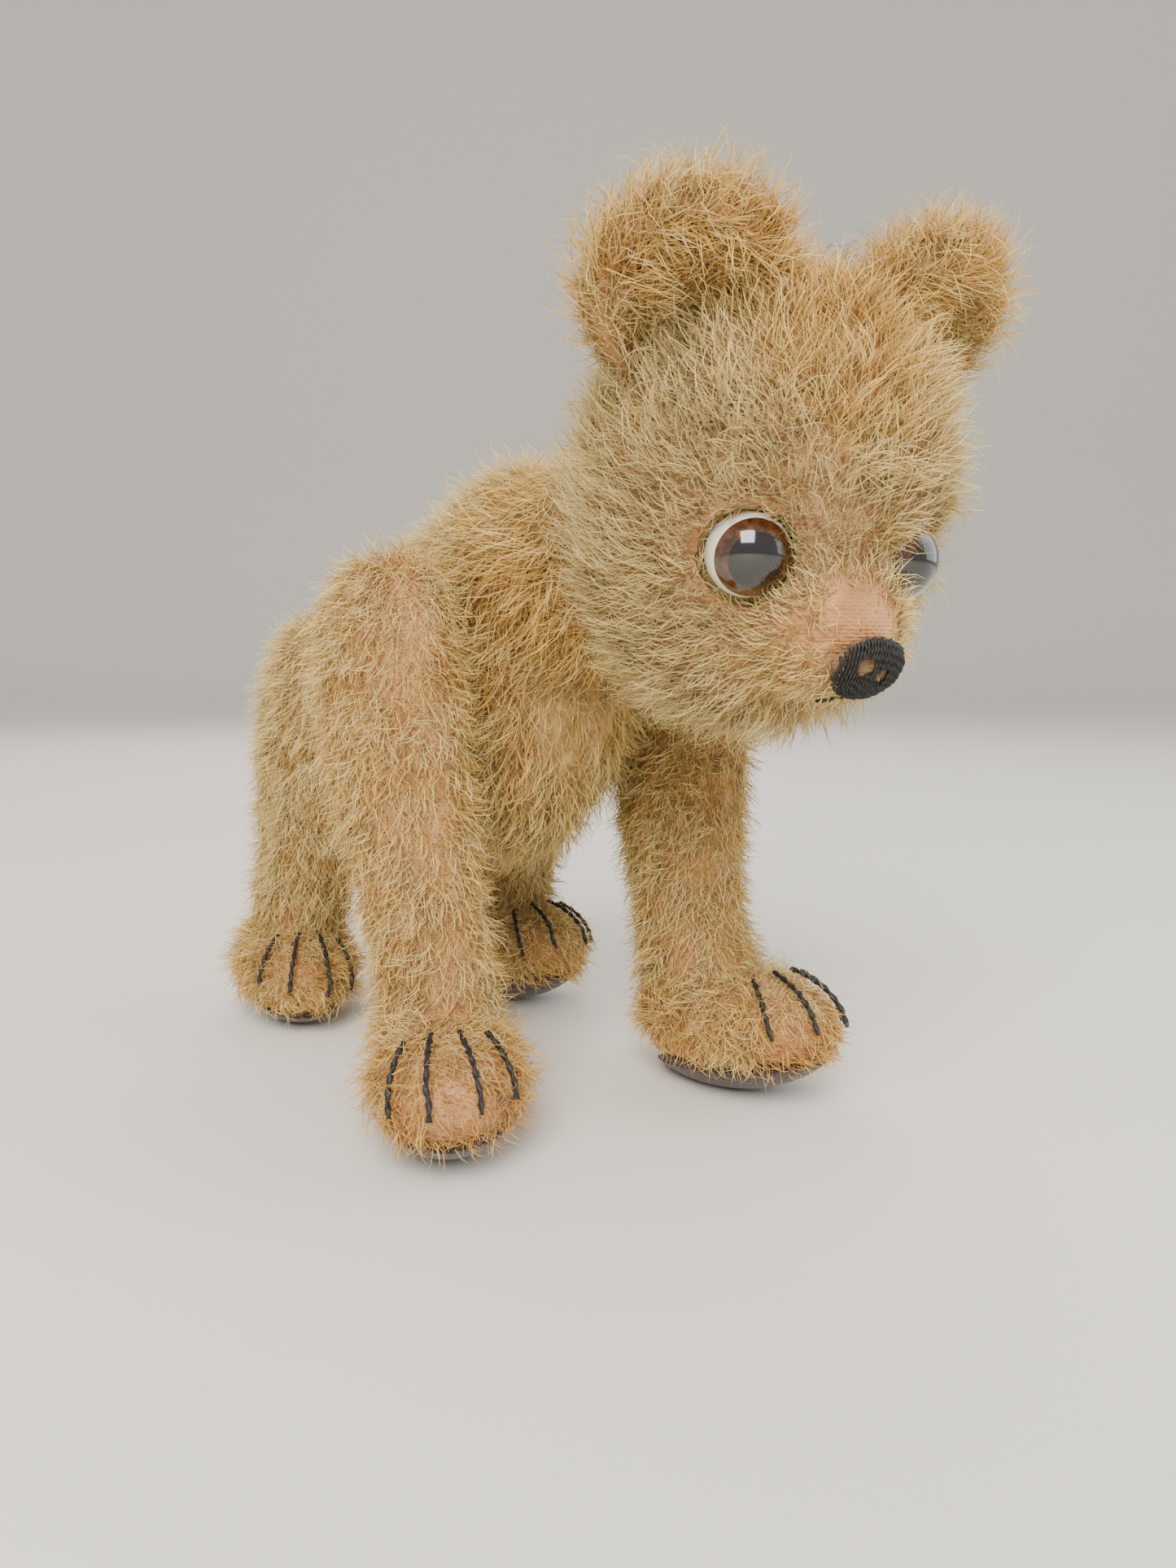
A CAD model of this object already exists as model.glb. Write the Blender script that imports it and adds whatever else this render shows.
"""A jointed mohair bear cub on all fours, dressed piece by piece over its CAD frame."""

import math

import bmesh
import bpy
import numpy as np
from mathutils import Matrix, Vector


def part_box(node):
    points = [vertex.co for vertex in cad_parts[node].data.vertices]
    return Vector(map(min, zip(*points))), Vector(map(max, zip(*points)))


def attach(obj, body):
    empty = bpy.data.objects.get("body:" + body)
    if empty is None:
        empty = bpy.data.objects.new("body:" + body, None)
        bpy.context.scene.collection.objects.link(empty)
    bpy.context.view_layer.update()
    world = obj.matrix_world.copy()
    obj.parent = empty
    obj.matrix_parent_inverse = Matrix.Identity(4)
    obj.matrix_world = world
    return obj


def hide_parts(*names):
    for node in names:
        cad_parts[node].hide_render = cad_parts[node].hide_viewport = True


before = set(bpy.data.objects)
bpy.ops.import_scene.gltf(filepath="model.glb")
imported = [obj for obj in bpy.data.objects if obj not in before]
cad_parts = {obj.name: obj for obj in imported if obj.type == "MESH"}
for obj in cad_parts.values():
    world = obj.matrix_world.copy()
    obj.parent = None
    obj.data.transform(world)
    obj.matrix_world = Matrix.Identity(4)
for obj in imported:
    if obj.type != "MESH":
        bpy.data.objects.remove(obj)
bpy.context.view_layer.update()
MM = 0.001

# The torso cover: mohair plush on a woven cotton backing, cut as a left and a right
# half, sewn inside out, turned and stuffed hard with wood wool. The backing shows
# orange-tan wherever the pile has worn off.
TORSO_NODES = ("torso_cover_left", "torso_cover_right", "torso_stuffing")
TORSO_VOXEL = 1.8 * MM
CLOTH_INSET = 1.6 * MM  # the cloth lies this far under the outline of the pile
THREAD_SPACING = 0.6 * MM  # drawn a little coarser than the real 0.4 mm, so that it shows
WAVES_PER_UNIT = 20  # a Wave Texture's own scale: this many radians a unit
SAME_POINT = 0.01 * MM


def linear(code):
    """An sRGB hex colour as linear RGBA."""
    parts = [int(code[i : i + 2], 16) / 255 for i in (1, 3, 5)]
    return (
        *(x / 12.92 if x <= 0.04045 else ((x + 0.055) / 1.055) ** 2.4 for x in parts),
        1.0,
    )


def add_node(tree, kind, inputs=None, **settings):
    """Adds a node with its settings, and its inputs as links or as plain values."""
    made = tree.nodes.new(kind)
    for name, value in settings.items():
        setattr(made, name, value)
    for key, value in (inputs or {}).items():
        if isinstance(value, bpy.types.NodeSocket):
            tree.links.new(value, made.inputs[key])
        else:
            made.inputs[key].default_value = value
    return made


def colour_ramp(tree, factor, stops):
    """A Color Ramp through (place, hex colour) stops."""
    ramp = add_node(tree, "ShaderNodeValToRGB", {"Fac": factor})
    elements = ramp.color_ramp.elements
    while len(elements) < len(stops):
        elements.new(0.5)
    for element, (place, code) in zip(elements, stops):
        element.position, element.color = place, linear(code)
    return ramp.outputs["Color"]


def new_material(name, **sockets):
    """A material with only its Principled shader, set to these sockets."""
    material = bpy.data.materials.new(name)
    material.use_nodes = True
    tree = material.node_tree
    shader = next(n for n in tree.nodes if n.type == "BSDF_PRINCIPLED")
    for key, value in sockets.items():
        shader.inputs[key.replace("_", " ")].default_value = value
    return material, tree, shader


def bumped(tree, shader, height, strength, distance):
    """Feeds a height to the shader's normal."""
    bump = add_node(
        tree, "ShaderNodeBump", {"Height": height, "Strength": strength, "Distance": distance}
    )
    tree.links.new(bump.outputs["Normal"], shader.inputs["Normal"])


def weave_height(tree, place, spacing):
    """Warp and weft as sine ridges, crossing in the two directions that a panel faces."""
    waves = [
        add_node(
            tree,
            "ShaderNodeTexWave",
            {
                "Vector": place,
                "Scale": 2 * math.pi / (WAVES_PER_UNIT * spacing),
                "Distortion": 1.2,
                "Detail": 1.0,
            },
            bands_direction=axis,
        ).outputs["Fac"]
        for axis in ("DIAGONAL", "Z")
    ]
    return add_node(
        tree, "ShaderNodeMath", {0: waves[0], 1: waves[1]}, operation="MULTIPLY"
    ).outputs[0]


# Backing cloth: plain-woven cotton, worn to a soft orange-tan with grey handling dirt.
backing, tree, shader = new_material("woven_cotton_backing", Roughness=0.9)
place = add_node(tree, "ShaderNodeTexCoord").outputs["Object"]
soil = add_node(tree, "ShaderNodeTexNoise", {"Vector": place, "Scale": 95.0, "Detail": 5.0})
tree.links.new(
    colour_ramp(
        tree,
        soil.outputs["Fac"],
        ((0.30, "#8f663f"), (0.48, "#b98355"), (0.62, "#cf9a69"), (0.78, "#dcb184")),
    ),
    shader.inputs["Base Color"],
)
bumped(tree, shader, weave_height(tree, place, THREAD_SPACING), 0.7, 0.25 * MM)


def mesh_object(name, mesh, material):
    """A piece at the origin wearing one material."""
    piece = bpy.data.objects.new(name, mesh)
    bpy.context.scene.collection.objects.link(piece)
    mesh.materials.clear()
    mesh.materials.append(material)
    return piece


def applied(piece):
    """The piece's mesh with its modifiers worked out, which are then removed."""
    graph = bpy.context.evaluated_depsgraph_get()
    mesh = bpy.data.meshes.new_from_object(piece.evaluated_get(graph))
    old, materials = piece.data, list(piece.data.materials)
    piece.modifiers.clear()
    piece.data = mesh
    mesh.materials.clear()
    for material in materials:
        mesh.materials.append(material)
    bpy.data.meshes.remove(old)
    return piece


def positions(mesh):
    found = np.empty(len(mesh.vertices) * 3)
    mesh.vertices.foreach_get("co", found)
    return found.reshape(-1, 3)


def outer_shell(mesh):
    """Keeps the connected part with the largest box, which drops the walls inside."""
    bm = bmesh.new()
    bm.from_mesh(mesh)
    left, groups = set(bm.verts), []
    while left:
        group, edge = set(), [left.pop()]
        while edge:
            vert = edge.pop()
            group.add(vert)
            for link in vert.link_edges:
                other = link.other_vert(vert)
                if other in left:
                    left.discard(other)
                    edge.append(other)
        groups.append(group)

    def span(group):
        co = np.array([v.co for v in group])
        return float(np.prod(co.max(0) - co.min(0)))

    groups.sort(key=span)
    bmesh.ops.delete(bm, geom=[v for g in groups[:-1] for v in g], context="VERTS")
    bm.to_mesh(mesh)
    bm.free()


def sewn_skin(name, nodes, voxel, smoothing, inset, material):
    """One smooth closed cover over CAD solids, drawn in by the inset."""
    bm = bmesh.new()
    for node in nodes:
        bm.from_mesh(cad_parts[node].data)
    bmesh.ops.remove_doubles(bm, verts=bm.verts, dist=SAME_POINT)
    mesh = bpy.data.meshes.new(name)
    bm.to_mesh(mesh)
    bm.free()
    piece = mesh_object(name, mesh, material)
    remesh = piece.modifiers.new("remesh", "REMESH")
    remesh.mode, remesh.voxel_size = "VOXEL", voxel
    smooth = piece.modifiers.new("smooth", "SMOOTH")
    smooth.factor, smooth.iterations = 0.5, smoothing
    applied(piece)
    outer_shell(piece.data)
    if inset:
        mesh = piece.data
        normals = np.array([v.normal for v in mesh.vertices])
        mesh.vertices.foreach_set("co", (positions(mesh) - normals * inset).ravel())
        mesh.update()
    piece.data.shade_smooth()
    return piece


torso_skin = sewn_skin("torso_skin", TORSO_NODES, TORSO_VOXEL, 6, CLOTH_INSET, backing)
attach(torso_skin, "torso")
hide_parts("torso_cover_left", "torso_cover_right")


# The pile: mohair tufts in long soft locks, matted by a century of handling. Each lock is a
# bent ribbon rooted in the backing; its tint runs along U and root to tip along V.
LOCK_BENDS = ((0.30, 0.20), (0.60, -0.30), (0.95, 0.30), (-0.35, 0.42))
LOCK_RINGS = ((0.0, 1.0), (0.40, 0.95), (0.78, 0.62))  # (how far up, share of the width)
PILE_COLOURS = (
    (0.00, "#a8925a"),
    (0.22, "#cdb678"),
    (0.48, "#ead390"),
    (0.70, "#e6b95f"),
    (0.88, "#d29a4e"),
    (1.00, "#bd7c43"),
)
mohair, tree, shader = new_material("matted_mohair_pile", Roughness=0.62)
shader.inputs["Sheen Weight"].default_value = 0.25
shader.inputs["Sheen Roughness"].default_value = 0.4
lock_map = add_node(tree, "ShaderNodeUVMap", uv_map="OFBake").outputs["UV"]
split = add_node(tree, "ShaderNodeSeparateXYZ", {"Vector": lock_map})
depth = colour_ramp(
    tree, split.outputs["Y"], ((0.0, "#a89c8a"), (0.4, "#e2ddd2"), (1.0, "#ffffff"))
)
shade = add_node(
    tree,
    "ShaderNodeMix",
    {"Factor": 1.0, 6: colour_ramp(tree, split.outputs["X"], PILE_COLOURS), 7: depth},
    data_type="RGBA",
    blend_type="MULTIPLY",
)
tree.links.new(shade.outputs[2], shader.inputs["Base Color"])

locks = bpy.data.collections.new("mohair_locks")
for index, (bend, sway) in enumerate(LOCK_BENDS):
    bm = bmesh.new()
    layer = bm.loops.layers.uv.new("OFBake")
    side_key = bm.verts.layers.float.new("side")
    rows = []
    for up, width in LOCK_RINGS:
        spot = (bend * up**2, sway * math.sin(3 * up), up * (1 - 0.25 * bend * up))
        rows.append(
            [(bm.verts.new(spot), side, up, width) for side in (-1, 1)]
        )
    tip = bm.verts.new((bend, sway * math.sin(3), 1 - 0.25 * bend))
    for row in rows:
        for vert, side, up, width in row:
            vert[side_key] = side * width
    where = {v: (0.5 + 0.5 * s, u) for row in rows for v, s, u, w in row}
    where[tip] = (0.5, 1.0)
    faces = [
        bm.faces.new((a[0][0], a[1][0], b[1][0], b[0][0])) for a, b in zip(rows, rows[1:])
    ]
    faces.append(bm.faces.new((rows[-1][0][0], rows[-1][1][0], tip)))
    for face in faces:
        for loop in face.loops:
            loop[layer].uv = where[loop.vert]
    lock_mesh = bpy.data.meshes.new(f"mohair_lock_{index}")
    bm.to_mesh(lock_mesh)
    bm.free()
    locks.objects.link(bpy.data.objects.new(f"mohair_lock_{index}", lock_mesh))


def new_tree(name, inputs):
    """A geometry tree with named inputs, and its group input and output nodes."""
    tree = bpy.data.node_groups.new(name, "GeometryNodeTree")
    tree.interface.new_socket("Geometry", in_out="INPUT", socket_type="NodeSocketGeometry")
    for label, kind in inputs:
        tree.interface.new_socket(label, in_out="INPUT", socket_type=f"NodeSocket{kind}")
    tree.interface.new_socket("Geometry", in_out="OUTPUT", socket_type="NodeSocketGeometry")
    return tree, add_node(tree, "NodeGroupInput").outputs, add_node(tree, "NodeGroupOutput")


def named(tree, name, kind):
    return add_node(
        tree, "GeometryNodeInputNamedAttribute", {"Name": name}, data_type=kind
    ).outputs["Attribute"]


def maths(tree, operation, a, b):
    return add_node(tree, "ShaderNodeMath", {0: a, 1: b}, operation=operation).outputs[0]


def vectors(tree, operation, a, b=None, scale=None):
    values = {0: a, 1: b, "Scale": scale}
    given = {key: value for key, value in values.items() if value is not None}
    return add_node(tree, "ShaderNodeVectorMath", given, operation=operation).outputs["Vector"]


pile_tree, given, out = new_tree(
    "Mohair pile",
    (
        ("Locks per square metre", "Float"),
        ("Pile length", "Float"),
        ("Lock width", "Float"),
        ("Matting size", "Float"),
        ("Seed", "Int"),
        ("Locks", "Collection"),
        ("Material", "Material"),
    ),
)
roots = add_node(
    pile_tree,
    "GeometryNodeDistributePointsOnFaces",
    {
        "Mesh": given["Geometry"],
        "Density": maths(
            pile_tree,
            "MULTIPLY",
            named(pile_tree, "cover", "FLOAT"),
            given["Locks per square metre"],
        ),
        "Seed": given["Seed"],
    },
)
spot = add_node(pile_tree, "GeometryNodeInputPosition").outputs[0]
swirl = add_node(
    pile_tree,
    "ShaderNodeTexNoise",
    {
        "Vector": spot,
        "Scale": maths(pile_tree, "DIVIDE", 1.0, given["Matting size"]),
        "Detail": 2.0,
    },
)
swirl_way = vectors(pile_tree, "SUBTRACT", swirl.outputs["Color"], (0.5, 0.5, 0.5))
stray = add_node(
    pile_tree,
    "FunctionNodeRandomValue",
    {0: (-1.0, -1.0, -1.0), 1: (1.0, 1.0, 1.0), "Seed": 11},
    data_type="FLOAT_VECTOR",
).outputs[0]
lay = named(pile_tree, "lay", "FLOAT_VECTOR")
way = vectors(
    pile_tree,
    "ADD",
    vectors(pile_tree, "ADD", roots.outputs["Normal"], lay),
    vectors(
        pile_tree,
        "ADD",
        vectors(pile_tree, "SCALE", swirl_way, scale=4.2),
        vectors(pile_tree, "SCALE", stray, scale=0.75),
    ),
)
upright = add_node(pile_tree, "FunctionNodeAlignRotationToVector", {"Vector": way}, axis="Z")
turned = add_node(
    pile_tree,
    "FunctionNodeAlignRotationToVector",
    {
        "Rotation": upright.outputs[0],
        "Vector": vectors(
            pile_tree, "ADD", lay, vectors(pile_tree, "SCALE", stray, scale=0.9)
        ),
    },
    axis="X",
    pivot_axis="Z",
)
length = maths(
    pile_tree,
    "MULTIPLY",
    maths(pile_tree, "MULTIPLY", named(pile_tree, "pile", "FLOAT"), given["Pile length"]),
    add_node(
        pile_tree, "FunctionNodeRandomValue", {2: 0.55, 3: 1.3, "Seed": 5}, data_type="FLOAT"
    ).outputs[1],
)
size = add_node(
    pile_tree, "ShaderNodeCombineXYZ", {"X": length, "Y": length, "Z": length}
).outputs[0]
tint = maths(
    pile_tree,
    "ADD",
    maths(
        pile_tree,
        "ADD",
        named(pile_tree, "tint", "FLOAT"),
        maths(pile_tree, "MULTIPLY", maths(pile_tree, "SUBTRACT", swirl.outputs["Fac"], 0.5), 0.7),
    ),
    add_node(
        pile_tree, "FunctionNodeRandomValue", {2: -0.15, 3: 0.15, "Seed": 7}, data_type="FLOAT"
    ).outputs[1],
)
tinted = add_node(
    pile_tree,
    "GeometryNodeStoreNamedAttribute",
    {"Geometry": roots.outputs["Points"], "Name": "lock_tint", "Value": tint},
    data_type="FLOAT",
    domain="POINT",
)
kinds = add_node(
    pile_tree,
    "GeometryNodeCollectionInfo",
    {"Collection": given["Locks"], "Separate Children": True, "Reset Children": True},
)
pick = add_node(
    pile_tree, "FunctionNodeRandomValue", {4: 0, 5: 3, "Seed": 3}, data_type="INT"
).outputs[2]
placed = add_node(
    pile_tree,
    "GeometryNodeInstanceOnPoints",
    {
        "Points": tinted.outputs[0],
        "Instance": kinds.outputs[0],
        "Pick Instance": True,
        "Instance Index": pick,
        "Rotation": turned.outputs[0],
        "Scale": size,
    },
)
lock_across = add_node(
    pile_tree, "GeometryNodeStoreNamedAttribute", {
        "Geometry": placed.outputs[0],
        "Name": "across",
        "Value": vectors(
            pile_tree, "NORMALIZE", vectors(pile_tree, "CROSS_PRODUCT", way, stray)
        ),
    },
    data_type="FLOAT_VECTOR",
    domain="INSTANCE",
)
real = add_node(pile_tree, "GeometryNodeRealizeInstances", {"Geometry": lock_across.outputs[0]})
half = maths(
    pile_tree,
    "MULTIPLY",
    named(pile_tree, "side", "FLOAT"),
    maths(pile_tree, "MULTIPLY", given["Lock width"], 0.5),
)
widened = add_node(
    pile_tree,
    "GeometryNodeSetPosition",
    {
        "Geometry": real.outputs[0],
        "Offset": vectors(
            pile_tree, "SCALE", named(pile_tree, "across", "FLOAT_VECTOR"), scale=half
        ),
    },
)
lock_uv = add_node(
    pile_tree, "ShaderNodeSeparateXYZ", {0: named(pile_tree, "OFBake", "FLOAT_VECTOR")}
)
palette = add_node(
    pile_tree,
    "ShaderNodeClamp",
    {"Value": named(pile_tree, "lock_tint", "FLOAT"), "Min": 0.03, "Max": 0.94},
).outputs[0]
palette_uv = add_node(
    pile_tree,
    "ShaderNodeCombineXYZ",
    {
        "X": maths(
            pile_tree, "ADD", palette, maths(pile_tree, "MULTIPLY", lock_uv.outputs["X"], 0.03)
        ),
        "Y": maths(
            pile_tree,
            "ADD",
            maths(pile_tree, "MULTIPLY", lock_uv.outputs["Y"], 0.98),
            0.01,
        ),
    },
).outputs[0]
mapped = add_node(
    pile_tree,
    "GeometryNodeStoreNamedAttribute",
    {"Geometry": widened.outputs[0], "Name": "OFBake", "Value": palette_uv},
    data_type="FLOAT2",
    domain="CORNER",
)
smooth = add_node(pile_tree, "GeometryNodeSetShadeSmooth", {"Geometry": mapped.outputs[0]})
coated = add_node(
    pile_tree,
    "GeometryNodeSetMaterial",
    {"Geometry": smooth.outputs[0], "Material": given["Material"]},
)
pile_tree.links.new(coated.outputs[0], out.inputs[0])


def run_tree(piece, tree, values):
    """Puts the tree on the piece with these named inputs, and makes the result plain mesh."""
    modifier = piece.modifiers.new(tree.name, "NODES")
    modifier.node_group = tree
    for item in tree.interface.items_tree:
        if item.in_out == "INPUT" and item.name in values:
            modifier[item.identifier] = values[item.name]
    return applied(piece)


def dress(skin, pile, cover, tint, lay):
    """Stores how the pile grows on each point of a skin."""
    mesh = skin.data
    normals = np.array([v.normal for v in mesh.vertices])
    lay = lay - normals * (lay * normals).sum(1)[:, None]
    lay /= np.maximum(np.linalg.norm(lay, axis=1), 1e-6)[:, None]
    for name, kind, values in (
        ("pile", "FLOAT", pile),
        ("cover", "FLOAT", cover),
        ("tint", "FLOAT", tint),
        ("lay", "FLOAT_VECTOR", lay * LEAN),
    ):
        attribute = mesh.attributes.new(name, kind, "POINT")
        key = "vector" if kind == "FLOAT_VECTOR" else "value"
        attribute.data.foreach_set(key, values.ravel())


LEAN = 1.05  # how far the pile is brushed over, against standing straight up
FLOOR_GAP = 0.4 * MM  # locks that reach the floor are laid flat this far over it
FLOOR_RIPPLE, RIPPLES_PER_METRE = 0.3, 9e3
seeds = iter(range(1, 100))


def grow_pile(name, skin, inside, body, length, per_mm2, width, matting=7 * MM):
    """The pile on the faces of a skin whose centres are inside a region."""
    bm = bmesh.new()
    bm.from_mesh(skin.data)
    away = [f for f in bm.faces if not inside(f.calc_center_median())]
    bmesh.ops.delete(bm, geom=away, context="FACES")
    mesh = bpy.data.meshes.new(name)
    bm.to_mesh(mesh)
    bm.free()
    piece = mesh_object(name, mesh, mohair)
    run_tree(
        piece,
        pile_tree,
        {
            "Locks per square metre": per_mm2 * 1e6,
            "Pile length": length,
            "Lock width": width,
            "Matting size": matting,
            "Seed": next(seeds),
            "Locks": locks,
            "Material": mohair,
        },
    )
    co = positions(piece.data)
    on_floor = co[:, 2] < FLOOR_GAP
    ripple = 1 + FLOOR_RIPPLE * np.sin(co[:, 0] * RIPPLES_PER_METRE)
    co[:, 2] = np.where(on_floor, FLOOR_GAP * ripple, co[:, 2])
    piece.data.vertices.foreach_set("co", co.ravel())
    for extra in ("side", "across", "lock_tint"):
        if extra in piece.data.attributes:
            piece.data.attributes.remove(piece.data.attributes[extra])
    piece.data.materials.clear()
    piece.data.materials.append(mohair)
    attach(piece, body)
    return piece


def near(points, centre, radius):
    """1 at a centre, fading to 0 at the radius, for points and centre in metres."""
    away = np.linalg.norm(points - np.asarray(centre), axis=1) / radius
    return np.clip(1 - away, 0, 1)


def distance_to(points, others):
    """How far each point is from the nearest of the others."""
    return np.linalg.norm(points[:, None] - others[None], axis=2).min(1)


TORSO_MIDDLE = 5.868 * MM
TORSO_WAIST = 22 * MM
co = positions(torso_skin.data)
chest = near(co, (-0.002, -0.040, 0.062), 0.034)
ruff = near(co, (-0.020, -0.035, 0.100), 0.045)
dress(
    torso_skin,
    pile=1.0 + 0.25 * ruff - 0.45 * chest,
    cover=1.0 - 0.75 * np.clip(2 * chest, 0, 1),
    tint=0.46 + 0.30 * ruff + 0.35 * chest,
    lay=np.tile((0.0, 0.5, -1.0), (len(co), 1)),
)
for side, sign in (("left", 1), ("right", -1)):
    for end, way_back in (("front", -1), ("rear", 1)):
        grow_pile(
            f"torso_pile_{side}_{end}",
            torso_skin,
            lambda p: (p.x - TORSO_MIDDLE) * sign > 0 and (p.y - TORSO_WAIST) * way_back > 0,
            "torso",
            7.4 * MM,
            2.9,
            0.24 * MM,
        )

# The four legs: each cover is mohair plush round a hard wood-wool filling, with a paw sewn to
# its end. The pile runs down the leg and forward over the paw.
LEGS = {  # the tint of each leg's pile, and how much of it is left
    "front_left": (0.50, 1.0),
    "front_right": (0.55, 0.75),
    "hind_left": (0.40, 1.0),
    "hind_right": (0.48, 1.0),
}
PAW_TOP = 25 * MM
ANKLE_FADE = 8 * MM  # over this height the pile turns from the leg's lie to the paw's
CLAW_PARTING = 4 * MM  # the pile is pressed down this far to each side of a claw
WORN_TOE = 14 * MM  # this much of a paw's front is rubbed thin
SOLE_FADE = 3 * MM
SOLE_SHOWS = 0.75  # the pile starts at this share of the height of a sole


def thread_paths(node, points):
    """The centre line of each separate thread in a CAD node, as rows of points."""
    bm = bmesh.new()
    bm.from_mesh(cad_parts[node].data)
    bmesh.ops.remove_doubles(bm, verts=bm.verts, dist=SAME_POINT)
    left, paths = set(bm.verts), []
    while left:
        group, edge = [], [left.pop()]
        while edge:
            vert = edge.pop()
            group.append(tuple(vert.co))
            for link in vert.link_edges:
                other = link.other_vert(vert)
                if other in left:
                    left.discard(other)
                    edge.append(other)
        co = np.array(group)
        axis = np.linalg.svd(co - co.mean(0), full_matrices=False)[2][0]
        along = (co - co.mean(0)) @ axis
        cuts = np.linspace(along.min(), along.max(), points + 1)
        rows = [
            co[(along >= a - 1e-6) & (along <= b + 1e-6)].mean(0)
            for a, b in zip(cuts, cuts[1:])
            if ((along >= a - 1e-6) & (along <= b + 1e-6)).any()
        ]
        rows[0], rows[-1] = (
            rows[0] + axis * (along.min() - (rows[0] - co.mean(0)) @ axis),
            rows[-1] + axis * (along.max() - (rows[-1] - co.mean(0)) @ axis),
        )
        paths.append(np.array(rows))
    bm.free()
    paths.sort(key=lambda p: tuple(np.round(p.mean(0), 5)))
    return paths


leg_skins = {}
for leg, (leg_tint, leg_cover) in LEGS.items():
    nodes = (f"{leg}_leg_cover", f"{leg}_paw_cover", f"{leg}_leg_stuffing")
    skin = sewn_skin(f"{leg}_leg_skin", nodes, 1.4 * MM, 5, 1.3 * MM, backing)
    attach(skin, f"{leg}_leg")
    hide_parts(*nodes[:2])
    leg_skins[leg] = skin
    co = positions(skin.data)
    claws = np.concatenate(thread_paths(f"{leg}_claw_threads", 6))
    open_up = np.clip(1 - distance_to(co, claws) / CLAW_PARTING, 0, 1)
    on_paw = np.clip((PAW_TOP - co[:, 2]) / ANKLE_FADE, 0, 1)
    toe = np.clip((co[:, 1].min() + WORN_TOE - co[:, 1]) / WORN_TOE, 0, 1) * on_paw
    sole_low, sole_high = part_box(f"{leg}_paw_sole")
    over_sole = np.clip((co[:, 2] - SOLE_SHOWS * sole_high.z) / SOLE_FADE, 0, 1)
    dress(
        skin,
        pile=(0.85 + 0.15 * on_paw - 0.35 * toe)
        * (1 - 0.5 * open_up)
        * (0.4 + 0.6 * over_sole),
        cover=leg_cover * (1 - 0.45 * toe) * over_sole,
        tint=leg_tint + 0.15 * on_paw + 0.12 * toe,
        lay=np.stack([0 * on_paw, -0.15 - 1.2 * on_paw, -1 + 0.2 * on_paw], 1),
    )
    for part, low, high in (("leg", PAW_TOP, 1.0), ("paw", -1.0, PAW_TOP)):
        grow_pile(
            f"{leg}_{part}_pile",
            skin,
            lambda p: low < p.z <= high,
            f"{leg}_leg",
            6.0 * MM,
            3.1,
            0.23 * MM,
        )

# Paw soles: domed dark-brown wool felt, whip-stitched inside the plush of each paw.
felt, tree, shader = new_material("dark_wool_felt", Roughness=0.95)
place = add_node(tree, "ShaderNodeTexCoord").outputs["Object"]
fibre = add_node(tree, "ShaderNodeTexNoise", {"Vector": place, "Scale": 900.0, "Detail": 6.0})
rubbed = add_node(tree, "ShaderNodeTexNoise", {"Vector": place, "Scale": 110.0, "Detail": 3.0})
tree.links.new(
    colour_ramp(
        tree,
        add_node(
            tree,
            "ShaderNodeMix",
            {"Factor": 0.45, 2: rubbed.outputs["Fac"], 3: fibre.outputs["Fac"]},
        ).outputs[0],
        ((0.35, "#1d110d"), (0.5, "#2e1c15"), (0.68, "#4a3024")),
    ),
    shader.inputs["Base Color"],
)
shader.inputs["Sheen Weight"].default_value = 0.3
bumped(tree, shader, fibre.outputs["Fac"], 0.8, 0.3 * MM)
for leg in LEGS:
    sole = sewn_skin(f"{leg}_sole", (f"{leg}_paw_sole",), 0.7 * MM, 3, 0, felt)
    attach(sole, f"{leg}_leg")
    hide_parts(f"{leg}_paw_sole")

# Sewing threads: two plies of cotton twisted together. The claws are long black stitches over
# the paws; a paler seam thread closes the chest.
thread_tree, given, out = new_tree(
    "Twisted thread",
    (("Thickness", "Float"), ("Ply pitch", "Float"), ("Material", "Material")),
)
path = add_node(thread_tree, "GeometryNodeMeshToCurve", {"Mesh": given["Geometry"]})
path = add_node(
    thread_tree,
    "GeometryNodeResampleCurve",
    {"Curve": path.outputs[0], "Length": maths(thread_tree, "MULTIPLY", given["Thickness"], 0.6)},
    mode="LENGTH",
)
travelled = add_node(thread_tree, "GeometryNodeSplineParameter").outputs["Length"]
path = add_node(
    thread_tree,
    "GeometryNodeSetCurveTilt",
    {
        "Curve": path.outputs[0],
        "Tilt": maths(
            thread_tree,
            "MULTIPLY",
            maths(thread_tree, "DIVIDE", travelled, given["Ply pitch"]),
            2 * math.pi,
        ),
    },
)
circle = add_node(
    thread_tree,
    "GeometryNodeCurvePrimitiveCircle",
    {"Resolution": 8, "Radius": maths(thread_tree, "MULTIPLY", given["Thickness"], 0.5)},
)
two_plies = add_node(
    thread_tree,
    "GeometryNodeSetPosition",
    {
        "Geometry": circle.outputs[0],
        "Position": vectors(
            thread_tree,
            "MULTIPLY",
            add_node(thread_tree, "GeometryNodeInputPosition").outputs[0],
            (1.0, 0.6, 1.0),
        ),
    },
)
thread = add_node(
    thread_tree,
    "GeometryNodeCurveToMesh",
    {"Curve": path.outputs[0], "Profile Curve": two_plies.outputs[0], "Fill Caps": True},
)
thread = add_node(thread_tree, "GeometryNodeSetShadeSmooth", {"Geometry": thread.outputs[0]})
thread = add_node(thread_tree, "GeometryNodeRealizeInstances", {"Geometry": thread.outputs[0]})
thread = add_node(
    thread_tree,
    "GeometryNodeSetMaterial",
    {"Geometry": thread.outputs[0], "Material": given["Material"]},
)
thread_tree.links.new(thread.outputs[0], out.inputs[0])


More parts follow.
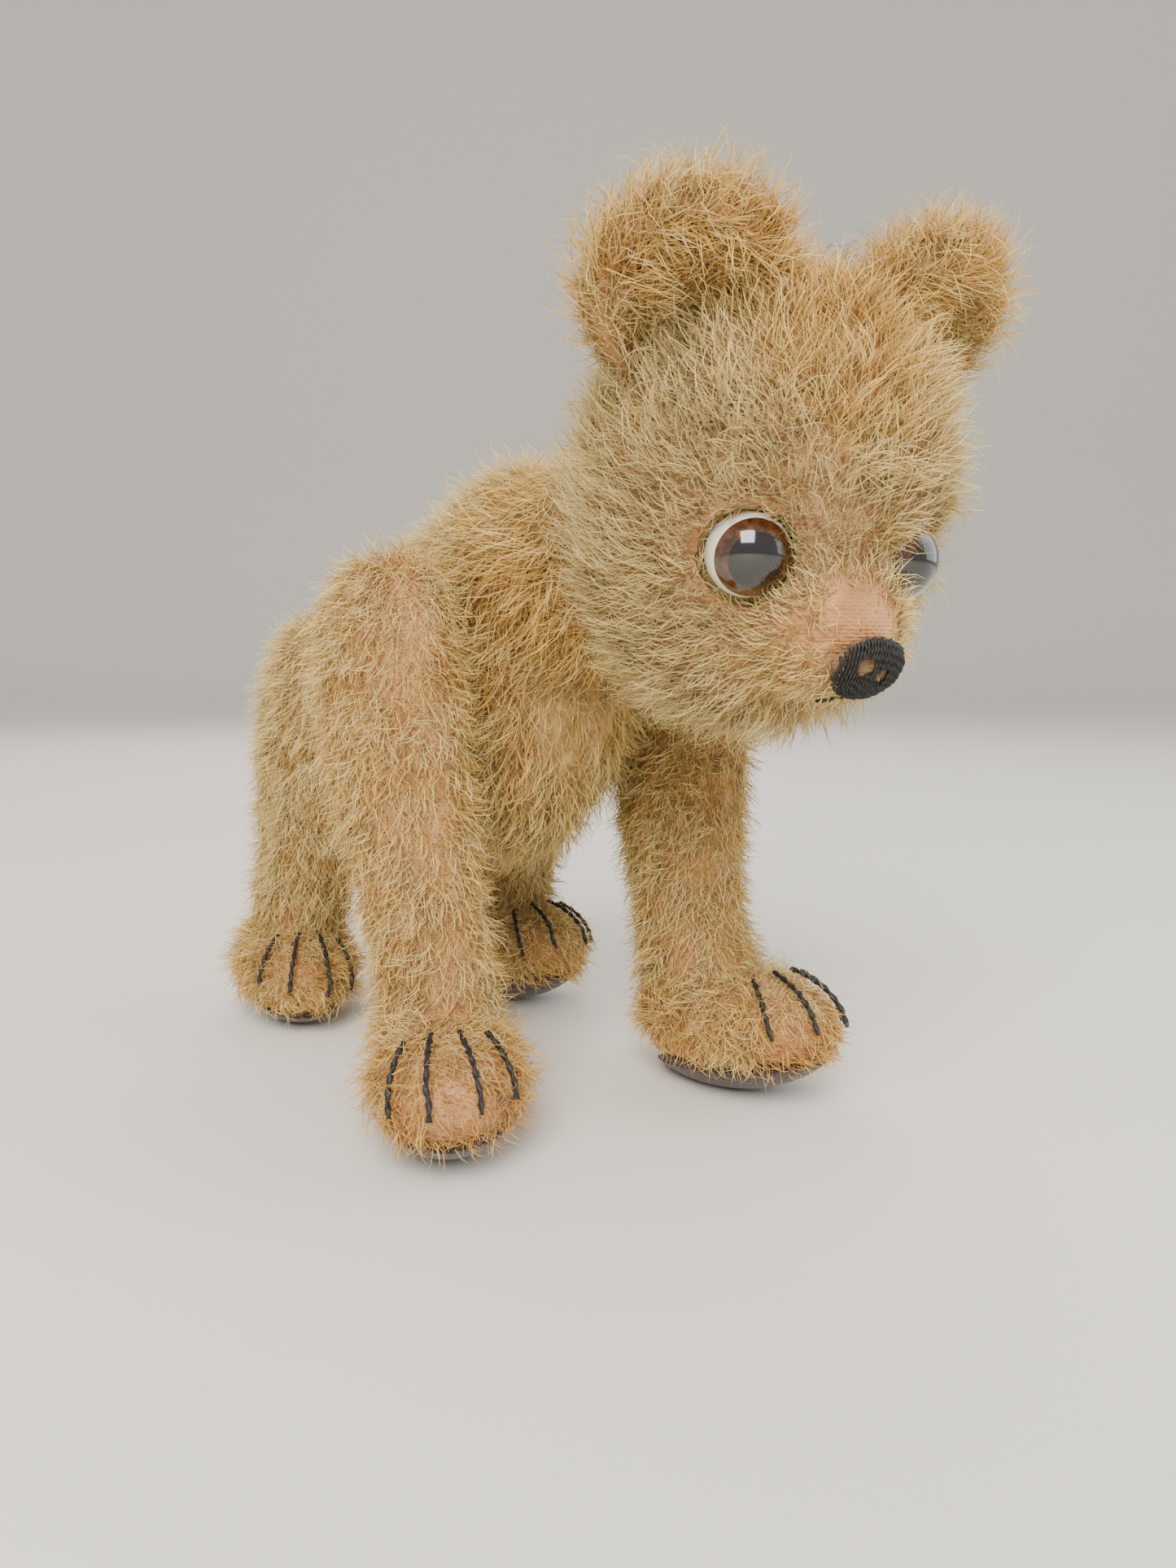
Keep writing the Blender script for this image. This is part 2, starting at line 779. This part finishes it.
def spun(name, light, dark, roughness):
    """Cotton thread: fine fibres lie along the plies, so its colour is broken up."""
    material, tree, shader = new_material(name, Roughness=roughness)
    place = add_node(tree, "ShaderNodeTexCoord").outputs["Object"]
    fibres = add_node(
        tree, "ShaderNodeTexNoise", {"Vector": place, "Scale": 1500.0, "Detail": 3.0}
    ).outputs["Fac"]
    tree.links.new(
        colour_ramp(tree, fibres, ((0.35, dark), (0.65, light))), shader.inputs["Base Color"]
    )
    bumped(tree, shader, fibres, 0.5, 0.1 * MM)
    return material


black_cotton = spun("black_pearl_cotton", "#2a2624", "#0d0b0b", 0.55)
seam_cotton = spun("straw_seam_cotton", "#c9a878", "#8f6d45", 0.75)


def threads(name, paths, thickness, material, body):
    """One piece of twisted threads along several paths."""
    mesh = bpy.data.meshes.new(name)
    verts, edges = [], []
    for path in paths:
        edges += [(len(verts) + i, len(verts) + i + 1) for i in range(len(path) - 1)]
        verts += [tuple(p) for p in path]
    mesh.from_pydata(verts, edges, [])
    piece = mesh_object(name, mesh, material)
    run_tree(
        piece,
        thread_tree,
        {"Thickness": thickness, "Ply pitch": 4 * thickness, "Material": material},
    )
    piece.data.materials.clear()
    piece.data.materials.append(material)
    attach(piece, body)
    return piece


def lifted(path, skin, height):
    """The path moved out from the nearest point of a skin to this height over it."""
    moved = []
    for point in path:
        found, spot, normal, _ = skin.closest_point_on_mesh(Vector(point))
        moved.append(np.array(spot + normal * height))
    return np.array(moved)


CLAW_THICKNESS, CLAW_LIFT = 1.3 * MM, 3.0 * MM
CHEST_THREAD, CHEST_LIFT = 0.8 * MM, 0.8 * MM
for leg in LEGS:
    paths = [
        lifted(path, leg_skins[leg], CLAW_LIFT)
        for path in thread_paths(f"{leg}_claw_threads", 8)
    ]
    for path in paths:
        path[:, 2] = np.maximum(path[:, 2], CLAW_THICKNESS)
    piece = threads(
        f"{leg}_claws", paths, CLAW_THICKNESS, black_cotton, f"{leg}_leg"
    )
    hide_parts(f"{leg}_claw_threads")

paths = [
    lifted(path, torso_skin, CHEST_LIFT) for path in thread_paths("chest_closing_stitches", 5)
]
piece = threads(
    "chest_ladder_stitches", paths, CHEST_THREAD, seam_cotton, "torso"
)
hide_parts("chest_closing_stitches")

# The head: two side panels and a crown gusset of the same plush. Its pile is brushed away from
# the nose, clipped short on the muzzle and rubbed through round the nose.
HEAD_NODES = ("head_side_left", "head_side_right", "head_gusset", "head_stuffing")
HEAD_CENTRE = np.array((13.64, -60.42, 119.75)) * MM
head_turn = np.array(
    Matrix.Rotation(math.radians(-9), 3, "Z") @ Matrix.Rotation(math.radians(32), 3, "X")
)
head_skin = sewn_skin("head_skin", HEAD_NODES, 1.3 * MM, 5, 1.3 * MM, backing)
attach(head_skin, "head")
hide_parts(*HEAD_NODES[:3])


def on_head(points):
    """Points in the head's own directions, in mm: left, back from the nose, up."""
    return (np.asarray(points) - HEAD_CENTRE) @ head_turn / MM


def from_head(points):
    """The reverse of on_head."""
    return np.asarray(points) * MM @ head_turn.T + HEAD_CENTRE


GUSSET_HALF_WIDTH = 13.0
EYE_SIDE, EYE_BACK, EYE_UP = 14.9, -23.6, 1.2
SOCKET_EDGE, SOCKET_FADE, EYE_OPENING = 6.0, 5.0, 5.2
co = positions(head_skin.data)
at = on_head(co)
muzzle = np.clip(1.25 - np.linalg.norm((at - (0, -34, -9)) / (19, 20, 17), axis=1), 0, 1)
bare = np.clip(1 - np.linalg.norm((at - (0, -39, -2)) / (9, 9, 10), axis=1), 0, 1)
crown = np.clip((at[:, 2] - 8) / 18, 0, 1) * np.clip(1.4 - np.abs(at[:, 0]) / 16, 0, 1)
eyes = np.min(
    [np.linalg.norm(at - (side * EYE_SIDE, EYE_BACK, EYE_UP), axis=1) for side in (-1, 1)],
    axis=0,
)
socket = np.clip((eyes - SOCKET_EDGE) / SOCKET_FADE, 0, 1)
dress(
    head_skin,
    pile=(1.0 - 0.5 * np.clip(1.2 * muzzle, 0, 1) + 0.15 * crown) * (0.25 + 0.75 * socket),
    cover=(1.0 - 0.2 * muzzle - 0.8 * np.clip(2 * bare, 0, 1)).clip(0.08, 1)
    * np.where(eyes < EYE_OPENING, 0, 1),
    tint=0.30 + 0.38 * crown + 0.25 * muzzle,
    lay=(at - (0, -44, -6)) @ head_turn.T,
)
for name, inside in (
    ("head_pile_left", lambda x: x > GUSSET_HALF_WIDTH),
    ("head_pile_right", lambda x: x < -GUSSET_HALF_WIDTH),
    ("head_pile_gusset", lambda x: abs(x) <= GUSSET_HALF_WIDTH),
):
    grow_pile(
        name,
        head_skin,
        lambda p: inside(float(on_head(np.array(p))[0])),
        "head",
        6.6 * MM,
        3.3,
        0.22 * MM,
    )

# The ears: cupped half-rounds of plush sewn to the head, their fronts rubbed to the cloth and
# a fringe of pile left round the rims.
for side, sign in (("left", 1), ("right", -1)):
    skin = sewn_skin(f"{side}_ear_skin", (f"ear_{side}",), 0.9 * MM, 3, 0.4 * MM, backing)
    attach(skin, "head")
    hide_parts(f"ear_{side}")
    co = positions(skin.data)
    at = on_head(co)
    low = at[:, 2].min()
    middle = np.array([at[:, 0].mean(), at[:, 1].mean(), low])
    out_from = at - middle
    reach = np.linalg.norm(out_from[:, (0, 2)], axis=1)
    rim = np.clip((reach - 8) / 7, 0, 1)
    front = np.clip((middle[1] - at[:, 1]) / 3 + 0.3, 0, 1)
    patch = np.clip(1.6 - np.abs(reach - 11) / 4, 0, 1) * front
    dress(
        skin,
        pile=0.7 + 0.4 * rim,
        cover=(1.0 - 0.85 * patch).clip(0.12, 1),
        tint=0.35 + 0.25 * rim,
        lay=out_from @ head_turn.T,
    )
    grow_pile(
        f"{side}_ear_pile", skin, lambda p: True, "head", 6.5 * MM, 4.6, 0.2 * MM
    )

# The nose and mouth: black cotton satin stitch laid side by side over a small pad, worn through
# in two spots, with one long stitch down from it.
nose_pad_cloth, tree, shader = new_material("nose_pad_cotton", Roughness=0.9)
place = add_node(tree, "ShaderNodeTexCoord").outputs["Object"]
tree.links.new(
    colour_ramp(
        tree,
        add_node(
            tree, "ShaderNodeTexNoise", {"Vector": place, "Scale": 260.0, "Detail": 4.0}
        ).outputs["Fac"],
        ((0.35, "#4a3526"), (0.6, "#8a6a48")),
    ),
    shader.inputs["Base Color"],
)
bumped(tree, shader, weave_height(tree, place, THREAD_SPACING), 0.7, 0.2 * MM)
nose_pad = sewn_skin(
    "nose_pad", ("nose_stitching",), 0.6 * MM, 3, 0.25 * MM, nose_pad_cloth
)
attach(nose_pad, "head")
at = on_head(positions(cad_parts["nose_stitching"].data))
nose_low, nose_high = at.min(0), at.max(0)
nose_middle, nose_half = (nose_low + nose_high) / 2, (nose_high - nose_low) / 2
STITCH_STEP, STITCH_THICKNESS = 0.55, 0.65 * MM
MOUTH_THREAD, MOUTH_LIFT = 1.0 * MM, 1.6 * MM
WORN_SPOTS = ((-1.6, 1.2, 1.3), (1.9, -0.6, 1.0))  # left, up and radius, in mm
rng = np.random.default_rng(4)
paths = []
for x in np.arange(-nose_half[0] + 0.5, nose_half[0] - 0.3, STITCH_STEP):
    height = nose_half[2] * math.sqrt(max(0.05, 1 - (x / nose_half[0]) ** 2))
    run = []
    for z in np.linspace(height, -height, 15):
        z = z + rng.uniform(-0.1, 0.1)
        worn = any(math.hypot(x - a, z - b) < r for a, b, r in WORN_SPOTS)
        if worn:
            if len(run) > 2:
                paths.append(run)
            run = []
            continue
        rest = max(0.0, 1 - (x / nose_half[0]) ** 2 - (z / nose_half[2]) ** 2)
        front = -nose_half[1] * math.sqrt(rest) - 0.1
        run.append(from_head(nose_middle + (x + 0.1 * math.sin(2 * z), front, z)))
    if len(run) > 2:
        paths.append(run)
piece = threads(
    "nose_satin_stitch", paths, STITCH_THICKNESS, black_cotton, "head"
)
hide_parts("nose_stitching")
paths = [
    lifted(path, head_skin, MOUTH_LIFT) for path in thread_paths("mouth_stitch", 10)
]
piece = threads("mouth_thread", paths, MOUTH_THREAD, black_cotton, "head")
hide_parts("mouth_stitch")


# The eyes: blown glass on wire shanks, with a thin white rim showing at the corners, a broad
# brown iris and a black pupil under one clear gloss. The plush closes over their edges.
IRIS_EDGE, PUPIL_EDGE = 0.88, 0.64  # shares of the eye's radius
EYE_GAZE = {"left": (0.10, -0.93, -0.30), "right": (-0.45, -0.85, -0.28)}
EYE_STEPS = 64


def glass(name, inner, outer, scale):
    """Enamelled glass: a hard clear coat over a slightly clouded colour."""
    material, tree, shader = new_material(name, Roughness=0.12)
    shader.inputs["Coat Weight"].default_value = 1.0
    shader.inputs["Coat Roughness"].default_value = 0.02
    place = add_node(tree, "ShaderNodeTexCoord").outputs["Object"]
    cloud = add_node(
        tree, "ShaderNodeTexNoise", {"Vector": place, "Scale": scale, "Detail": 4.0}
    ).outputs["Fac"]
    tree.links.new(
        colour_ramp(tree, cloud, ((0.35, inner), (0.65, outer))), shader.inputs["Base Color"]
    )
    return material


eye_glasses = (
    glass("black_glass", "#040303", "#0b0908", 300.0),
    glass("brown_glass", "#2c150a", "#5a3018", 900.0),
    glass("white_opal_glass", "#d8d2c4", "#efeade", 300.0),
)
for side, gaze in EYE_GAZE.items():
    low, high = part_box(f"eye_white_{side}")
    centre, radius = (low + high) / 2, max(high - low) / 2
    bm = bmesh.new()
    bmesh.ops.create_uvsphere(bm, u_segments=EYE_STEPS, v_segments=EYE_STEPS, radius=radius)
    zones = []
    for face in bm.faces:
        spot = face.calc_center_median().normalized()
        share = math.hypot(spot.x, spot.y) if spot.z > 0 else 1.0
        zones.append(0 if share < PUPIL_EDGE else 1 if share < IRIS_EDGE else 2)
    to_gaze = Vector(gaze).to_track_quat("Z", "Y").to_matrix().to_4x4()
    bmesh.ops.transform(bm, matrix=Matrix.Translation(centre) @ to_gaze, verts=bm.verts)
    mesh = bpy.data.meshes.new(f"glass_eye_{side}")
    bm.to_mesh(mesh)
    bm.free()
    eye = mesh_object(f"glass_eye_{side}", mesh, eye_glasses[0])
    for glazing in eye_glasses[1:]:
        mesh.materials.append(glazing)
    mesh.polygons.foreach_set("material_index", zones)
    mesh.shade_smooth()
    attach(eye, "head")
    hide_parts(*(f"eye_{part}_{side}" for part in ("white", "iris", "pupil")))


def plain_finish(name, light, dark, scale, roughness, metallic=0.0, stretch=(1, 1, 1)):
    """A finish for the hidden joint parts: broken colour and a fine bump."""
    material, tree, shader = new_material(name, Roughness=roughness, Metallic=metallic)
    place = add_node(
        tree,
        "ShaderNodeMapping",
        {"Vector": add_node(tree, "ShaderNodeTexCoord").outputs["Object"], "Scale": stretch},
    ).outputs[0]
    grain = add_node(
        tree, "ShaderNodeTexNoise", {"Vector": place, "Scale": scale, "Detail": 5.0}
    ).outputs["Fac"]
    tree.links.new(
        colour_ramp(tree, grain, ((0.35, dark), (0.65, light))), shader.inputs["Base Color"]
    )
    bumped(tree, shader, grain, 0.4, 0.15 * MM)
    return material


finishes = {
    "steel": plain_finish("drawn_steel_wire", "#a8a8a6", "#7d7c79", 700.0, 0.35, 1.0),
    "hardboard": plain_finish("pressed_hardboard", "#8a6443", "#5e3f27", 500.0, 0.8),
    "wood_wool": plain_finish(
        "wood_wool", "#c7ab78", "#8c7043", 300.0, 0.9, stretch=(1, 1, 0.15)
    ),
}


def finish_of(node):
    """The finish of a CAD node that is kept as it is."""
    for part, name in (
        ("disc", "hardboard"),
        ("stuffing", "wood_wool"),
    ):
        if part in node:
            return finishes[name]
    return finishes["steel"]


for node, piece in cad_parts.items():
    if not piece.hide_render:
        piece.data.materials.clear()
        piece.data.materials.append(finish_of(node))

# The setting: a plain pale floor that sweeps up behind, and soft daylight from a large window.
FLOOR_FRONT, FLOOR_SIDE, WALL_BACK, WALL_HIGH, SWEEP = -3.0, 4.0, 2.2, 3.0, 0.6
CAMERA_HEADING, CAMERA_DIP = math.radians(34.3), math.radians(6.3)
bm = bmesh.new()
rows = [(FLOOR_FRONT, 0.0)]
for angle in np.linspace(0, math.pi / 2, 9):
    rows.append((WALL_BACK + SWEEP * math.sin(angle), SWEEP * (1 - math.cos(angle))))
rows.append((WALL_BACK + SWEEP, WALL_HIGH))
turn = Matrix.Rotation(-CAMERA_HEADING, 3, "Z")
grid = [
    [bm.verts.new(turn @ Vector((x, y, z))) for x in (-FLOOR_SIDE, FLOOR_SIDE)]
    for y, z in rows
]
for a, b in zip(grid, grid[1:]):
    bm.faces.new((a[0], a[1], b[1], b[0]))
mesh = bpy.data.meshes.new("floor")
bm.to_mesh(mesh)
bm.free()
paper, tree, shader = new_material("matt_studio_paper", Roughness=0.9)
shader.inputs["Base Color"].default_value = linear("#e9e6df")
floor = mesh_object("floor", mesh, paper)
floor.data.shade_smooth()


def area_light(name, place, target, size, watts, colour):
    light = bpy.data.lights.new(name, "AREA")
    light.shape, light.size, light.energy = "SQUARE", size, watts
    light.color = linear(colour)[:3]
    lamp = bpy.data.objects.new(name, light)
    bpy.context.scene.collection.objects.link(lamp)
    lamp.location = place
    way = Vector(target) - Vector(place)
    lamp.rotation_euler = way.to_track_quat("-Z", "Y").to_euler()


area_light("window", (-0.55, -0.65, 0.75), (0, 0, 0.07), 0.6, 17.0, "#fffaf2")
area_light("side_fill", (0.75, -0.45, 0.45), (0, 0, 0.07), 0.8, 4.0, "#f4f7ff")
area_light("back_fill", (0.35, 0.85, 0.8), (0, 0, 0.07), 0.8, 6.0, "#fff8ee")
world = bpy.data.worlds.new("room")
world.use_nodes = True
backdrop = world.node_tree.nodes["Background"]
backdrop.inputs["Color"].default_value = linear("#e6e4e0")
backdrop.inputs["Strength"].default_value = 0.95
bpy.context.scene.world = world

camera_data = bpy.data.cameras.new("camera")
camera_data.sensor_fit, camera_data.sensor_height = "VERTICAL", 36.0
camera_data.lens, camera_data.clip_start = 27.05, 0.005
camera = bpy.data.objects.new("camera", camera_data)
bpy.context.scene.collection.objects.link(camera)
camera.location = (-0.1321, -0.2208, 0.0924)
ahead = math.cos(CAMERA_DIP)
look = (
    math.sin(CAMERA_HEADING) * ahead,
    math.cos(CAMERA_HEADING) * ahead,
    -math.sin(CAMERA_DIP),
)
camera.rotation_euler = Vector(look).to_track_quat("-Z", "Y").to_euler()
bpy.context.scene.camera = camera
